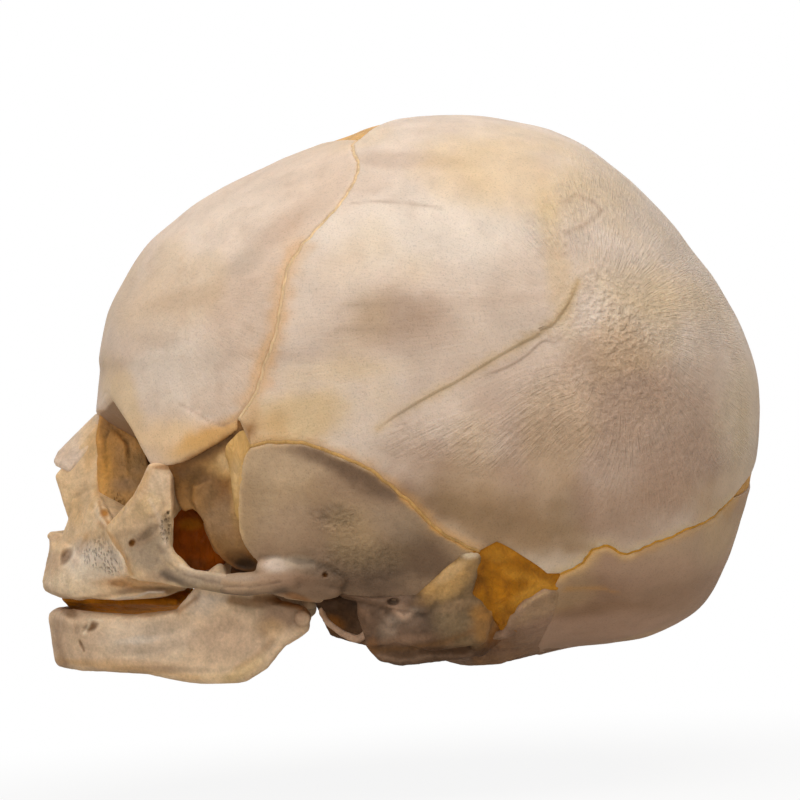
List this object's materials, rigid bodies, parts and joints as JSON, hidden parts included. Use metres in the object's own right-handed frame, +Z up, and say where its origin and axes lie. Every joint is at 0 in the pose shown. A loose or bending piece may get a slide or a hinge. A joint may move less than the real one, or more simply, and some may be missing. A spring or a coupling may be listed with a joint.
{
  "type": "fetal skull",
  "caption": "Dry skull of a near-term human fetus in its separate bones, with fontanelle and suture membranes and a hinged lower jaw.",
  "frame": {"origin": "centre of the bounding box on the surface that the skull stands on", "axes": "-X towards the face, -Y towards the left side of the skull, +Z up; the mid-plane is Y = 0"},
  "size_m": [0.1214, 0.0858, 0.0913],
  "materials": {
    "vault_bone": "dry cream bone, fine fibres, matt",
    "face_bone": "dry yellowish bone, porous at the tooth sockets",
    "dark_bone": "dry brown bone of the skull base",
    "dried_membrane": "thin amber membrane, slightly glossy",
    "dried_cartilage": "dark dried cartilage"
  },
  "bodies": {
    "cranium": {"anterior_fontanelle": "dried_membrane", "basioccipital": "dark_bone", "coronal_suture_left": "dried_membrane", "coronal_suture_right": "dried_membrane", "ethmoid": "face_bone", "exoccipital_left": "dark_bone", "exoccipital_right": "dark_bone", "frontal_left": "vault_bone", "frontal_right": "vault_bone", "greater_wing_left": "face_bone", "greater_wing_right": "face_bone", "inferior_concha_left": "face_bone", "inferior_concha_right": "face_bone", "lacrimal_left": "face_bone", "lacrimal_right": "face_bone", "lambdoid_suture_left": "dried_membrane", "lambdoid_suture_right": "dried_membrane", "mastoid_fontanelle_left": "dried_membrane", "mastoid_fontanelle_right": "dried_membrane", "maxilla_left": "face_bone", "maxilla_right": "face_bone", "metopic_suture": "dried_membrane", "nasal_left": "face_bone", "nasal_right": "face_bone", "occipital_squama": "dark_bone", "orbital_membrane_left": "dried_membrane", "orbital_membrane_right": "dried_membrane", "palate_membrane": "dried_membrane", "palatine_left": "face_bone", "palatine_right": "face_bone", "parietal_left": "vault_bone", "parietal_right": "vault_bone", "petromastoid_left": "dark_bone", "petromastoid_right": "dark_bone", "posterior_fontanelle": "dried_membrane", "sagittal_suture": "dried_membrane", "sphenoid_body": "dark_bone", "sphenoidal_fontanelle_left": "dried_membrane", "sphenoidal_fontanelle_right": "dried_membrane", "squamous_suture_left": "dried_membrane", "squamous_suture_right": "dried_membrane", "temporal_squama_left": "face_bone", "temporal_squama_right": "face_bone", "tympanic_ring_left": "dark_bone", "tympanic_ring_right": "dark_bone", "vomer": "face_bone", "zygomatic_left": "face_bone", "zygomatic_right": "face_bone"},
    "lower_jaw": {"mandible_left": "face_bone", "mandible_right": "face_bone", "mandibular_symphysis": "dried_cartilage"}
  },
  "joints": [
    {"name": "jaw_hinge", "type": "hinge", "parent": "cranium", "child": "lower_jaw", "pos_m": [-0.01685, 0, 0.01015], "axis": [0, -1, 0], "range_deg": [0, 30]}
  ]
}
